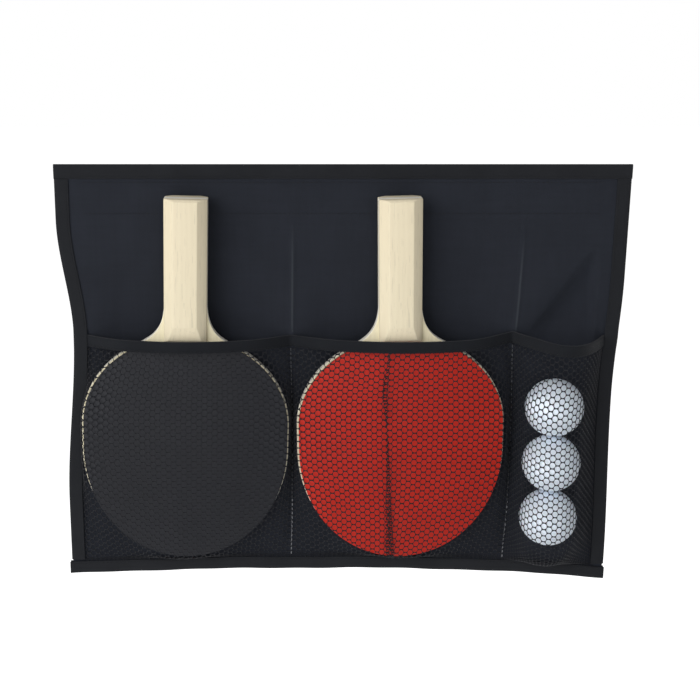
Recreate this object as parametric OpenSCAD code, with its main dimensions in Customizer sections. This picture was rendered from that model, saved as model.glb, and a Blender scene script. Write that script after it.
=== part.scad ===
// Hanging holder for table tennis bats and balls.
// A doubled cloth panel hangs from a hook-and-loop tape on the table's frame. Net pockets on its
// front hold two bats side by side and a column of balls, and woven tape binds every edge.
// Millimetres. +X to the right, +Y towards the table's frame, +Z up.
// The origin is the centre of the hook tape's adhesive face, on the plane y = 0.

/* [Bat] */
// Width of the blade across its widest place
blade_w = 145; // [135:1:155]
// Height of the round at the blade's foot, up to its straight sides
blade_wide_at = 83; // [79:0.5:86]
// Length of the blade's straight sides
blade_side = 17.5; // [14:0.5:20]
// Height that the blade's shoulders would reach above the straight sides as a full round
blade_crown = 64.8; // [62:0.2:67]
// Height of the sweep from the handle's foot up its sides
neck_l = 23; // [20:0.5:26]
// Bare wood between the covering and the handle
cover_gap = 4; // [2:0.5:6]
// Margin of bare wood around the covering
cover_inset = 1; // [0.5:0.1:2]
// Thickness of the plywood blade
ply_t = 6; // [5:0.1:7]
// Thickness of the sponge under each sheet
sponge_t = 0.9; // [0.5:0.1:1.5]
// Thickness of each rubber sheet
rubber_t = 0.9; // [0.5:0.1:1.5]
// Length of the handle
handle_l = 100; // [90:1:108]
// Length of the whole bat
bat_l = 260; // [256:1:264]
// Width of the handle
handle_w = 29.2; // [27:0.1:32]
// Thickness of the handle, blade included
handle_t = 23; // [21:0.5:25]
// Width of the handle's flat middle facet
facet_w = 13.8; // [12:0.1:18]
// Height of the handle's side face on each grip scale
facet_side = 4; // [3:0.5:5]
// Length of the bevel at the blade end of each grip scale
bevel_l = 13; // [11:0.5:16]
// Thickness left at the tip of that bevel
bevel_tip = 1.2; // [0.8:0.1:2]
// Chamfer round the butt end
butt_chamfer = 1.5; // [1:0.5:2.5]

/* [Ball] */
// Diameter of a ball
ball_d = 40; // [38:0.5:42]
// Wall of the hollow ball
ball_wall = 0.5; // [0.4:0.1:1]
// Height of the lowest ball above the bottom seam
ball_rise = 18.8; // [17:0.1:21]
// Distance of the balls to the left of their pocket's middle
ball_aside = 7; // [5:0.5:8]

/* [Panel] */
// Height of the back panel at its middle
panel_h = 292; // [288:1:300]
// Thickness of the doubled panel cloth
panel_t = 1; // [0.8:0.1:1.4]
// Distance from the panel's top edge to the middle of the fixing tape
tape_drop = 22; // [22:0.5:25]
// How far the panel bows back behind each bat
belly = 3.2; // [2.8:0.1:3.4]
// How far the net draws the left edge in
left_pull = 9; // [7:0.5:9]
// How far the net draws the right edge in
right_pull = 3.5; // [2:0.5:5]
// Height below the mouths over which the left edge widens again
pull_fall = 120; // [100:1:130]
// How much lower all of this lies on the right edge
pull_offset = 40; // [30:1:45]
// How far the lower left corner droops
left_droop = 4.5; // [2:0.5:6]
// How far the lower right corner droops
right_droop = 8; // [4:0.5:9]
// Width beside a seam in which the bow fades out
bow_fade = 20; // [18:0.5:22]
// Width beside the left edge in which the bow fades out
edge_fade = 24; // [20:0.5:26]
// Height above the bottom seam over which the bow grows
foot_fade = 30; // [26:0.5:34]

/* [Fixing tape] */
// Length of the hook and the loop tape
fixing_l = 360; // [320:1:364]
// Height of the hook and the loop tape
fixing_h = 25; // [20:0.5:25]
// Thickness of the adhesive hook tape
hook_t = 1.5; // [1.2:0.1:2]
// Thickness of the sewn loop tape
loop_t = 1.5; // [1.2:0.1:2]

/* [Binding and net] */
// Width of the folded binding on each face
binding_w = 9; // [8.5:0.1:10]
// Thickness of the binding tape
binding_t = 0.7; // [0.5:0.1:0.9]
// Height of the tape along the pocket mouths
band_h = 8; // [7:0.5:10]
// Thickness of the tape along the pocket mouths
band_t = 0.5; // [0.4:0.1:0.6]
// Thickness of the net
net_t = 0.6; // [0.4:0.1:0.7]
// Air between layers that are sewn together
slack = 0.1; // [0.08:0.01:0.15]

/* [Pockets] */
// Height of the pockets above the panel's bottom edge
pocket_h = 175; // [170:1:180]
// Room beside the bat in the left pocket, to each side
left_room = 3.5; // [3.4:0.05:4]
// Room beside the bat in the middle pocket, to each side
middle_room = 5.25; // [5:0.05:8]
// Room beside the ball in the right pocket, both sides together
ball_room = 23; // [21:0.5:27]
// Height of the bats' feet above the bottom seam
bat_rise = 3; // [3:0.1:7]
// Air between a bat or ball and the cloth
clearance = 0.5; // [0.4:0.05:0.8]
// Distance of the black-fronted bat to the right of its pocket's middle
black_aside = 0.4; // [0:0.05:0.5]
// Distance of the red-fronted bat to the left of its pocket's middle
red_aside = 1.85; // [0:0.05:2]
// How far the mouths of the bats' pockets belly forwards at the middle
camber = 4.5; // [4:0.5:8]
// Lean of the black-fronted bat to the left, in degrees
black_lean = -0.6; // [-0.7:0.1:0.7]
// Lean of the red-fronted bat to the left, in degrees
red_lean = 1.6; // [-1.7:0.1:1.7]

/* [Hidden] */
$fn = 96;

LEFT = 0;
MIDDLE = 1;
BALLS = 2;
cloth_colour = "#1c1d24";
tape_colour = "#222227";
net_colour = "#15161a";
wood_colour = "#e8d3a8";
ply_colour = "#d9bd8a";

// Heights, from the middle of the fixing tape.
z_top = tape_drop;
z_foot = z_top - panel_h;
z_seam = z_foot + binding_w;
z_mouth = z_foot + pocket_h;
z_band = z_mouth - band_h;
z_flat = -fixing_h / 2 - 2;
z_bat = z_seam + bat_rise;

// Seams across the panel, from left to right.
pocket_w = [blade_w + 2 * left_room, blade_w + 2 * middle_room, ball_d + ball_room];
panel_w = pocket_w[LEFT] + pocket_w[MIDDLE] + pocket_w[BALLS] + 2 * binding_w;
seam_x = [-panel_w / 2 + binding_w,
    -panel_w / 2 + binding_w + pocket_w[LEFT],
    panel_w / 2 - binding_w - pocket_w[BALLS],
    panel_w / 2 - binding_w];
seam_gap = net_t / 2 + band_t + 2 * slack;

// Planes, from the table's frame forwards.
y_loop = -hook_t;
y_back = y_loop - loop_t;
y_front = y_back - panel_t;
y_binding = y_front - slack - binding_t;

// Bats stand in their pockets with the blade's foot back and the butt forward.
blade_stack = ply_t + 2 * (sponge_t + rubber_t);
handle_z = bat_l - handle_l;
cover_l = handle_z - cover_gap;
y_bat_foot = y_front + 0.47 * belly - clearance - blade_stack / 2;
y_bat_butt = y_binding - 2 * clearance - handle_t / 2;
bat_tilt = atan((y_bat_foot - y_bat_butt) / (z_top - z_bat));

// Balls stand in a column.
ball_pitch = ball_d + 0.3;
ball_x = (seam_x[BALLS] + seam_x[BALLS + 1]) / 2 - ball_aside;
ball_y = y_binding - clearance - ball_d / 2;
ball_z = z_seam + ball_rise + ball_d / 2;

// Counts of points on the cloth.
net_steps = 22;
net_rows = 13;
panel_steps = 33;
panel_rows = 11;
binding_steps = 30;

function clamp01(t) = min(1, max(0, t));
function ease(t) = clamp01(t) * clamp01(t) * (3 - 2 * clamp01(t));
function mix(a, b, t) = a + (b - a) * t;

// ---- Shape of the hanging cloth ----

// The panel is flat on the fixing tape, at the seams and behind the balls, and bows back behind
// the bats.
function belly_share(z) = z > z_mouth
    ? ease((z_flat - z) / (z_flat - z_mouth))
    : pow(clamp01((z - z_seam) / foot_fade), 0.4);
function near_seam(x, i) = exp(-pow((x - seam_x[i]) / bow_fade, 2));
function between_seams(x) = x > seam_x[BALLS] ? 0
    : ease((x - seam_x[0] - left_pull - left_room) / edge_fade) - near_seam(x, 1) - near_seam(x, 2);
function panel_front(x, z) = y_front + belly * belly_share(z) * max(0, between_seams(x));

// How far the nets draw the edges in at height z.
function pull_share(z) = z > z_mouth
    ? ease((z_flat - z) / (z_flat - z_mouth))
    : mix(0.14, 1, ease((z - z_mouth + pull_fall) / pull_fall));
function left_edge(z) = -panel_w / 2 + left_pull * pull_share(z);
function right_edge(z) = panel_w / 2 - right_pull * pull_share(z + pull_offset);

// The lower corners droop, and everything above follows less and less up to the mouths.
function droop(x) = (x < 0 ? left_droop : right_droop) * pow(abs(2 * x / panel_w), 2.2);
function hang(x, z) = z - droop(x) * clamp01((z_mouth - z) / (z_mouth - z_foot));
function hung(p) = [p[0], p[1], hang(p[0], p[2])];

// ---- Cloth as a closed skin between two grids of points ----
// The rows run upwards and the columns to the right when the outer face is seen from the front.

function cell(a, b, c, d) = [[a, b, c], [a, c, d]];
module cloth(outer, inner) {
    rows = len(outer);
    cols = len(outer[0]);
    under = rows * cols;
    last = rows - 1;
    edge = cols - 1;
    points = [for (grid = [outer, inner]) for (row = grid) for (p = row) p];
    faces = [
        for (i = [0:last - 1], j = [0:edge - 1])
            each concat(
                cell(i * cols + j, (i + 1) * cols + j, (i + 1) * cols + j + 1, i * cols + j + 1),
                cell(under + i * cols + j, under + i * cols + j + 1,
                    under + (i + 1) * cols + j + 1, under + (i + 1) * cols + j)),
        for (j = [0:edge - 1])
            each concat(
                cell(j, j + 1, under + j + 1, under + j),
                cell(last * cols + j + 1, last * cols + j,
                    under + last * cols + j, under + last * cols + j + 1)),
        for (i = [0:last - 1])
            each concat(
                cell((i + 1) * cols, i * cols, under + i * cols, under + (i + 1) * cols),
                cell(i * cols + edge, (i + 1) * cols + edge,
                    under + (i + 1) * cols + edge, under + i * cols + edge))
    ];
    polyhedron(points, faces, convexity = 6);
}

// Offsets a line of [x, y] points by d towards its front, with mitred corners.
function unit(v) = v / norm(v);
function along(line, i) = let (last = len(line) - 1)
    unit(line[i == 0 ? 1 : i] - line[i == 0 ? 0 : i - 1])
    + unit(line[i == last ? last : i + 1] - line[i == last ? last - 1 : i]);
function offset_line(line, d) = [for (i = [0:len(line) - 1])
    let (t = along(line, i), stretch = 2 / (t * t)) line[i] + d * stretch * [t[1], -t[0]]];

// ---- Nets ----

function net_x(k) = (seam_x[k] + seam_x[k + 1]) / 2;
function net_w(k) = (seam_x[k + 1] - seam_x[k]) / 2 - seam_gap;
// An arch over u from -1 to 1 that is level out to the given share of each half.
function arch(u, level, power) = let (t = clamp01((abs(u) - level) / (1 - level)))
    pow(1 - pow(t, power), 1 / power);

// Half width of the blade that passes level z on its way out, as a share of the net's half.
lean = [black_lean, red_lean];
aside = [-black_aside, red_aside];
z_wide = z_bat + blade_wide_at;
function blade_half(z) = let (down = (z_wide - z) / blade_wide_at)
    blade_w / 2 * (down <= 0 ? 1 : sqrt(max(0, 1 - down * down)));
function band_room(z) = (band_t + slack) * clamp01((z - z_band + 6) / 5);
function blade_share(k, z) = (blade_half(z) + abs(aside[k]) + side_room + band_room(z)) / net_w(k);
function bat_plane(z) = y_bat_foot - (z - z_bat) * tan(bat_tilt);

// The net stands on the binding at the panel's edges, and on the panel at the dividers.
function seam_lift(side, z) = slack + net_t / 2
    + (side == 0 || side == 3 ? (binding_t + slack) * clamp01(z - z_seam) : 0)
    + band_room(z);
function seam_y(side, z) = panel_front(seam_x[side], z) - seam_lift(side, z);
function seat(k, z) = -(seam_y(k, z) + seam_y(k + 1, z)) / 2;

// Each pocket's depth in front of its seams at share u of its half width.
bat_power = 3.4;
side_room = 0.45;
ball_power = 3.4;
function level_share(k, z) = max(0, blade_share(k, z) - 0.07);
function camber_at(z) = camber * mix(0.35, 1, ease((z - z_bat) / (z_band - z_bat)));
function bat_depth(k, u, z) = let (edge = blade_share(k, z), level = level_share(k, z),
        reach = blade_stack / 2 - bat_plane(z) + clearance + net_t + band_room(z) - seat(k, z),
        rise = (reach - camber_at(z) * (1 - edge * edge)) / arch(edge, level, bat_power))
    rise * arch(u, level, bat_power) + camber_at(z) * (1 - u * u);
function foot_share(z) = pow(clamp01((z - z_seam) / bat_rise), 0.6);
function ball_depth(z) = let (down = clamp01((ball_z + 4 - z) / (ball_z + 4 - z_seam)),
        reach = ball_d / 2 - ball_y + clearance + 0.8 * net_t + band_room(z) - seat(BALLS, z))
    reach * pow(1 - pow(down, 1.95), 1 / 1.95);
function depth(k, u, z) = z <= z_seam ? 0
    : k == BALLS ? ball_depth(z) * arch(u, 0, ball_power)
    : z < z_bat ? bat_depth(k, u, z_bat) * foot_share(z)
    : bat_depth(k, u, z);

// The middle line of net k at height z, seam to seam, with a narrow flat edge at each end.
function net_line(k, z) = let (level = min(z, z_band), w = net_w(k))
    concat([[seam_x[k] + slack / 2, seam_y(k, level)]],
        [for (i = [0:net_steps]) let (u = sin(90 * (2 * i / net_steps - 1)))
            [net_x(k) + w * u, mix(seam_y(k, level), seam_y(k + 1, level), (u + 1) / 2)
                - depth(k, u, level)]],
        [[seam_x[k + 1] - slack / 2, seam_y(k + 1, level)]]);
function net_levels() = concat([z_foot + 1, z_seam],
    [for (t = [0.2, 0.55]) z_seam + bat_rise * t],
    [for (i = [0:net_rows]) mix(z_bat, z_band, pow(i / net_rows, 1.25))],
    [z_mouth - band_t - slack]);
function net_grid(k, side) = [for (z = net_levels())
    [for (p = offset_line(net_line(k, z), side * net_t / 2)) hung([p[0], p[1], z])]];
module net(k) {
    color(net_colour) cloth(net_grid(k, 1), net_grid(k, -1));
}

// One tape runs over the upper edge of all three nets.
function band_line(d) = [for (k = [LEFT:BALLS]) each offset_line(net_line(k, z_band), d)];
function band_row(d, z) = [for (p = band_line(d)) [p[0], p[1], z]];
module pocket_band() {
    near = net_t / 2 + slack;
    far = near + band_t;
    color(tape_colour) cloth(
        [band_row(far, z_band), band_row(far, z_mouth), band_row(-far, z_mouth), band_row(-far, z_band)],
        [band_row(near, z_band), band_row(near, z_mouth - band_t),
            band_row(-near, z_mouth - band_t), band_row(-near, z_band)]);
}

// ---- Panel and its bindings ----

function panel_levels() = concat([z_top, z_flat], [for (i = [1:panel_rows])
    mix(z_flat, z_bat + 16, i / panel_rows)], [z_bat + 6, z_bat, mix(z_seam, z_bat, 0.5), z_seam, z_foot]);
function panel_grid(back) = [for (i = [len(panel_levels()) - 1:-1:0]) let (z = panel_levels()[i])
    [for (j = [0:panel_steps]) let (x = mix(left_edge(z), right_edge(z), j / panel_steps))
        hung([x, panel_front(x, z) + back, z])]];
module back_panel() {
    color(cloth_colour) cloth(panel_grid(0), panel_grid(panel_t));
}

// A side binding wraps the panel's edge. side is -1 on the left and 1 on the right.
function edge_x(side, z) = side < 0 ? left_edge(z) : right_edge(z);
function edge_levels() = concat([z_seam + 1.5],
    [for (i = [len(panel_levels()) - 1:-1:0]) let (z = panel_levels()[i])
        if (z > z_seam + 3 && z < z_top - binding_w - 1) z],
    [z_top - binding_w - slack]);
// One level of the binding: its two faces at the inner edge and round the fold, grown by t.
function edge_ring(side, z, t) = let (e = edge_x(side, z), inner = e - side * binding_w,
        outer = e + side * (slack + t),
        yi = panel_front(inner, z), yo = panel_front(e, z),
        ring = [[inner, yi - slack - t, z], [outer, yo - slack - t, z],
            [outer, yo + panel_t + slack + t, z], [inner, yi + panel_t + slack + t, z]])
    [for (i = [0:3]) hung(ring[side > 0 ? i : 3 - i])];
function edge_grid(side, t) = [for (z = edge_levels()) edge_ring(side, z, t)];
module side_binding(side) {
    color(tape_colour) cloth(edge_grid(side, binding_t), edge_grid(side, 0));
}

// The bottom binding takes the panel and the nets' lower edges in one fold.
z_fold = z_seam - 0.4;
function foot_row(y, z, i) = [for (j = [0:binding_steps])
    let (x = mix(-1, 1, j / binding_steps) * (panel_w / 2 + slack + binding_t - i))
        hung([x, y, z])];
function foot_grid(t, inset) = [
    foot_row(y_back + slack + t, z_fold, inset),
    foot_row(y_back + slack + t, z_foot - slack - t, inset),
    foot_row(y_front - 2 * slack - net_t - t, z_foot - slack - t, inset),
    foot_row(y_front - 2 * slack - net_t - t, z_fold, inset)];
module bottom_binding() {
    color(tape_colour) cloth(foot_grid(binding_t, 0), foot_grid(0, 0));
}

module top_binding() {
    length = panel_w + 2 * (slack + binding_t);
    color(tape_colour) difference() {
        translate([-length / 2, y_binding, z_top - binding_w])
            cube([length, panel_t + 2 * (slack + binding_t), binding_w + slack + binding_t]);
        translate([-length / 2 - 1, y_front - slack, z_top - binding_w - 1])
            cube([length + 2, panel_t + 2 * slack, binding_w + 1 + slack]);
    }
}

// ---- Fixing tapes ----

module fixing(y, t, colour) {
    color(colour) translate([-fixing_l / 2, y - t, -fixing_h / 2]) cube([fixing_l, t, fixing_h]);
}

// ---- Bat: drawn with the blade's foot at the origin and the handle up ----

// The outline's right half from the foot to the butt: a round foot, straight sides, round
// shoulders and a curve that sweeps in to the handle.
shoulder_x = 0.56;
function round_point(a, rise, angle) = [a * cos(angle),
    blade_wide_at + (angle > 0 ? blade_side : 0) + rise * sin(angle)];
function bezier(a, b, c, d, t) = pow(1 - t, 3) * a + 3 * t * pow(1 - t, 2) * b
    + 3 * t * t * (1 - t) * c + t * t * t * d;
function half_outline(grow) = let (a = blade_w / 2 + grow, top = blade_crown + grow,
        foot = blade_wide_at + grow, stop = acos(shoulder_x), neck = handle_w / 2 + grow,
        start = round_point(a, top, stop), leave = unit([-a * sin(stop), top * cos(stop)]),
        end = [neck, handle_z + neck_l], reach = neck_l * 0.87)
    concat([for (i = [0:18]) round_point(a, foot, mix(-90, 0, i / 18))],
        [for (i = [0:10]) round_point(a, top, mix(0.01, stop, i / 10))],
        [for (i = [1:12]) bezier(start, start + reach * leave, end - [0, reach / 2], end, i / 12)],
        [[neck, bat_l]]);
function outline(grow) = let (half = half_outline(grow), n = len(half))
    concat(half, [for (i = [n - 1:-1:1]) [-half[i][0], half[i][1]]]);
module slab(shape, y, t) {
    translate([0, y, 0]) rotate([90, 0, 0]) linear_extrude(t) polygon(shape);
}

// A bat leans about the foot of its straight sides, and so stays in the middle of its pocket.
module place_bat(k) {
    translate([net_x(k) - aside[k], y_bat_foot, z_bat]) rotate([bat_tilt, 0, 0])
        translate([0, 0, blade_wide_at]) rotate([0, -lean[k], 0]) translate([0, 0, -blade_wide_at])
            children();
}
module blade() {
    color(ply_colour) slab(outline(0), ply_t / 2, ply_t);
}
// A covering layer from y forwards by t, cut straight at the handle end.
module cover(y, t, colour) {
    color(colour) intersection() {
        slab(outline(-cover_inset), y, t);
        translate([-blade_w, -blade_stack, -1]) cube([2 * blade_w, 2 * blade_stack, cover_l + 1]);
    }
}
module grip() {
    rise = (handle_t - ply_t) / 2;
    half = handle_w / 2;
    slope = atan(bevel_l / (rise - bevel_tip));
    color(wood_colour) translate([0, -ply_t / 2, handle_z]) difference() {
        linear_extrude(handle_l) polygon([[-half, 0], [half, 0], [half, -facet_side],
            [facet_w / 2, -rise], [-facet_w / 2, -rise], [-half, -facet_side]]);
        translate([-handle_w, -bevel_tip, 0]) rotate([-slope, 0, 0])
            translate([0, -6 * rise, -3 * rise]) cube([2 * handle_w, 6 * rise, 3 * rise]);
        translate([-handle_w, -rise + butt_chamfer, handle_l]) rotate([45, 0, 0])
            translate([0, -2 * rise, 0]) cube([2 * handle_w, 2 * rise, rise]);
    }
}
module front_half() { children(); }
module back_half() { mirror([0, 1, 0]) children(); }
module rubber(colour) { cover(-ply_t / 2 - sponge_t, rubber_t, colour); }
module sponge() { cover(-ply_t / 2, sponge_t, "#2a2a2e"); }

module ball(i) {
    color("#f1f1ec") translate([ball_x, ball_y, ball_z + i * ball_pitch]) difference() {
        sphere(d = ball_d);
        sphere(d = ball_d - 2 * ball_wall);
    }
}

fixing(0, hook_t, "#101012");  // hook_tape
fixing(y_loop, loop_t, "#18181b");  // loop_tape
back_panel();
top_binding();
side_binding(-1);  // left_binding
side_binding(1);  // right_binding
bottom_binding();
net(LEFT);  // left_bat_net
net(MIDDLE);  // middle_bat_net
net(BALLS);  // ball_net
pocket_band();

place_bat(LEFT) blade();  // black_bat_blade
place_bat(LEFT) front_half() grip();  // black_bat_front_grip
place_bat(LEFT) back_half() grip();  // black_bat_back_grip
place_bat(LEFT) front_half() sponge();  // black_bat_front_sponge
place_bat(LEFT) front_half() rubber("#17181c");  // black_bat_front_rubber
place_bat(LEFT) back_half() sponge();  // black_bat_back_sponge
place_bat(LEFT) back_half() rubber("#c4261d");  // black_bat_back_rubber

place_bat(MIDDLE) blade();  // red_bat_blade
place_bat(MIDDLE) front_half() grip();  // red_bat_front_grip
place_bat(MIDDLE) back_half() grip();  // red_bat_back_grip
place_bat(MIDDLE) front_half() sponge();  // red_bat_front_sponge
place_bat(MIDDLE) front_half() rubber("#c4261d");  // red_bat_front_rubber
place_bat(MIDDLE) back_half() sponge();  // red_bat_back_sponge
place_bat(MIDDLE) back_half() rubber("#17181c");  // red_bat_back_rubber

ball(0);  // bottom_ball
ball(1);  // middle_ball
ball(2);  // top_ball
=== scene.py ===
import math
from functools import partialmethod

import bpy
import numpy as np
from mathutils import Matrix, Vector


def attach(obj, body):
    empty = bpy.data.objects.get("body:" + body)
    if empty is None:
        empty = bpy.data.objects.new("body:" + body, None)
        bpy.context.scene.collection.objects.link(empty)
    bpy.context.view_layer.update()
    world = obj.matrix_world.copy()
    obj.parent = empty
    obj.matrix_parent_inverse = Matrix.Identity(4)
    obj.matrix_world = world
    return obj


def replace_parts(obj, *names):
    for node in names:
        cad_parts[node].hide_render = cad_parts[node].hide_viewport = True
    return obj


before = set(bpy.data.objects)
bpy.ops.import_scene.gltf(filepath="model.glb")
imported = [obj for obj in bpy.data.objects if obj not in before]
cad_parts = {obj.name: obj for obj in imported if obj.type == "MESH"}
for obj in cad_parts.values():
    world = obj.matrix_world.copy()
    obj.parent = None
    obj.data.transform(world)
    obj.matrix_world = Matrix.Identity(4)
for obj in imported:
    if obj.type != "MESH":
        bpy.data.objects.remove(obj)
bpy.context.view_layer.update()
MM = 0.001

# ---- Sizes of the holder, in millimetres ----

BLADE_W = 145
BLADE_WIDE_AT = 83
BLADE_SIDE = 17.5
BLADE_CROWN = 64.8
NECK_L = 30
COVER_INSET = 1
PLY_T = 6
SPONGE_T = 0.9
RUBBER_T = 0.9
HANDLE_L = 100
BAT_L = 260
HANDLE_Z = BAT_L - HANDLE_L
COVER_L = HANDLE_Z - 4
HANDLE_W = 29.2
HANDLE_T = 23
FACET_W = 16.3
FACET_SIDE = 2.8
BALL_D = 40
BALL_RISE = 18.8
BALL_ASIDE = 7
PANEL_H = 292
PANEL_T = 1
TAPE_DROP = 22
BELLY = 3.2
LEFT_PULL = 9
RIGHT_PULL = 3.5
LEFT_DROOP = 4.5
RIGHT_DROOP = 8
FIXING_H = 25
HOOK_T = 1.5
LOOP_T = 1.5
BINDING_W = 9
BINDING_T = 0.7
BAND_H = 8
BAND_T = 0.5
NET_T = 0.6
SLACK = 0.1
POCKET_H = 175
LEFT_ROOM = 3.5
MIDDLE_ROOM = 5.25
BALL_ROOM = 23
BAT_RISE = 3
CLEARANCE = 0.5
BATS = ("black", "red")
# Each bat's lean in its pocket, in degrees to the left.
LEANS = (-1.2, 1.6)

Z_TOP = TAPE_DROP
Z_FOOT = Z_TOP - PANEL_H
Z_SEAM = Z_FOOT + BINDING_W
Z_MOUTH = Z_FOOT + POCKET_H
Z_BAND = Z_MOUTH - BAND_H
Z_FLAT = -FIXING_H / 2 - 2
Z_BAT = Z_SEAM + BAT_RISE
Z_WIDE = Z_BAT + BLADE_WIDE_AT

POCKET_W = (BLADE_W + 2 * LEFT_ROOM, BLADE_W + 2 * MIDDLE_ROOM, BALL_D + BALL_ROOM)
PANEL_W = sum(POCKET_W) + 2 * BINDING_W
SEAM_X = np.cumsum((-PANEL_W / 2 + BINDING_W,) + POCKET_W)
BAT_X = ((SEAM_X[0] + SEAM_X[1]) / 2 + 0.4, (SEAM_X[1] + SEAM_X[2]) / 2 - 1.85)

Y_BACK = -HOOK_T - LOOP_T
Y_FRONT = Y_BACK - PANEL_T
Y_BINDING = Y_FRONT - SLACK - BINDING_T
BLADE_STACK = PLY_T + 2 * (SPONGE_T + RUBBER_T)
Y_BAT_FOOT = Y_FRONT + 0.47 * BELLY - CLEARANCE - BLADE_STACK / 2
Y_BAT_BUTT = Y_BINDING - 2 * CLEARANCE - HANDLE_T / 2
BAT_TILT = math.atan((Y_BAT_FOOT - Y_BAT_BUTT) / (Z_TOP - Z_BAT))
BALL_PITCH = BALL_D + 0.3
BALL_X = (SEAM_X[2] + SEAM_X[3]) / 2 - BALL_ASIDE
BALL_Y = Y_BINDING - CLEARANCE - BALL_D / 2
BALL_Z = Z_SEAM + BALL_RISE + BALL_D / 2


def mix(a, b, t):
    return a + (b - a) * t


def ease(t):
    t = np.clip(t, 0, 1)
    return t * t * (3 - 2 * t)


def bump_at(value, centre, width):
    return np.exp(-(((value - centre) / width) ** 2))


# ---- The hanging cloth's form ----

BELLY_FOOT_H = 30
BELLY_SIDE_W = 24
SEAM_HOLD_W = 20
FOOT_PULL = 0.14
FOOT_PULL_H = 120


def belly_share(z):
    above = ease((Z_FLAT - z) / (Z_FLAT - Z_MOUTH))
    below = np.clip((z - Z_SEAM) / BELLY_FOOT_H, 0, 1) ** 0.4
    return np.where(z > Z_MOUTH, above, below)


def between_seams(x):
    rise = ease((x - SEAM_X[0] - LEFT_PULL - LEFT_ROOM) / BELLY_SIDE_W)
    bow = rise - bump_at(x, SEAM_X[1], SEAM_HOLD_W) - bump_at(x, SEAM_X[2], SEAM_HOLD_W)
    return np.where(x > SEAM_X[2], 0, np.maximum(0, bow))


def panel_front(x, z):
    return Y_FRONT + BELLY * belly_share(z) * between_seams(x)


def pull_share(z):
    above = ease((Z_FLAT - z) / (Z_FLAT - Z_MOUTH))
    below = FOOT_PULL + (1 - FOOT_PULL) * ease((z - Z_MOUTH + FOOT_PULL_H) / FOOT_PULL_H)
    return np.where(z > Z_MOUTH, above, below)


def left_edge(z):
    return -PANEL_W / 2 + LEFT_PULL * pull_share(z)


def right_edge(z):
    return PANEL_W / 2 - RIGHT_PULL * pull_share(z + 40)


def hang(x, z):
    droop = np.where(x < 0, LEFT_DROOP, RIGHT_DROOP) * np.abs(2 * x / PANEL_W) ** 2.2
    return z - droop * np.clip((Z_MOUTH - z) / (Z_MOUTH - Z_FOOT), 0, 1)


# ---- The nets' form: taut over the bats and balls, and open in an arc at the mouth ----

MOUTH_DEPTH = (21.5, 21.5, 36)
SEAM_LIFT = 0.5
RIM_GAP = 2.0
# How far the outer nets run on under the side tapes.
TUCK = 2.2
# Over a bat: how far a net bows, how fast it rises from its seams and how sharply the two meet.
SWELL = 2.2
RISE = 1.35
TAUTNESS = 7.0
# Over the balls: the net's clear radius, and how round it closes under them.
BALL_EASE = 0.25
BALL_ROUND = BALL_D / 2 + CLEARANCE + NET_T / 2 + BALL_EASE
BALL_TOP = BALL_Z + 2 * BALL_PITCH
FOOT_ROUND = 1.95
BALL_POINTS = 241


def blade_half(z):
    """Half width of a resting blade at height z."""
    h = z - Z_BAT
    if h < BLADE_WIDE_AT:
        share = 1 - h / BLADE_WIDE_AT
    else:
        share = max(0, h - BLADE_WIDE_AT - BLADE_SIDE) / BLADE_CROWN
    return BLADE_W / 2 * math.sqrt(max(0, 1 - share * share))


def tape_inner(side, z):
    """Inner edge of a side tape's front at height z; the left one gives way to the blade's rim."""
    if side > 0:
        return float(right_edge(z)) - BINDING_W
    inner = float(left_edge(z)) + BINDING_W
    if not Z_SEAM < z < Z_MOUTH:
        return inner
    rim = BAT_X[0] - blade_half(z) - RIM_GAP
    return min(inner, rim) - 0.25 * math.exp(-abs(rim - inner))


def seam_at(side, z):
    """Where a net's side leaves its seam at height z."""
    if side == 1:
        return SEAM_X[1] - 1.5 * float(bump_at(z, -95, 40)) - 0.6 * float(bump_at(z, -262, 25))
    if side == 2:
        return SEAM_X[2] - 2 * float(bump_at(z, -95, 45)) - 2 * float(bump_at(z, -262, 30)) - 0.4
    return tape_inner(-1, z) + 0.15 if side == 0 else tape_inner(1, z) - 0.15


def bat_section(k, x, z):
    """Depth of a net over a bat at height z, in front of its seams."""
    left, right = seam_at(k, z), seam_at(k + 1, z)
    centre = BAT_X[k] - (z - Z_WIDE) * math.tan(math.radians(LEANS[k]))
    face = -Y_BAT_FOOT + (z - Z_BAT) * math.tan(BAT_TILT) + BLADE_STACK / 2 + Y_FRONT - SEAM_LIFT
    face = face + CLEARANCE + NET_T / 2
    share = np.clip((x - left) / (right - left), 0.0001, 0.9999)
    bow = 1 - (2 * share - 1) ** 2
    over = face + SWELL * bow
    half = blade_half(z)
    rise = RISE * face
    from_left = rise * np.maximum(x - left, 0.01) / max(1.2, centre - half - left)
    from_right = rise * np.maximum(right - x, 0.01) / max(1.2, right - centre - half)
    beside = np.clip(np.abs(x - centre) / (BLADE_W / 2), 0, 1)
    rim_z = Z_WIDE - BLADE_WIDE_AT * np.sqrt(1 - beside ** 2)
    from_foot = rise * max(z - Z_SEAM, 0.01) / np.maximum(rim_z - Z_SEAM, 1.0)
    taut = sum(form ** -TAUTNESS for form in (over, from_left, from_right, from_foot)) ** (-1 / TAUTNESS)
    mouth = MOUTH_DEPTH[k] * bow * float(ease((z + 185) / 82))
    return (taut ** 8 + mouth ** 8) ** (1 / 8)


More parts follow.
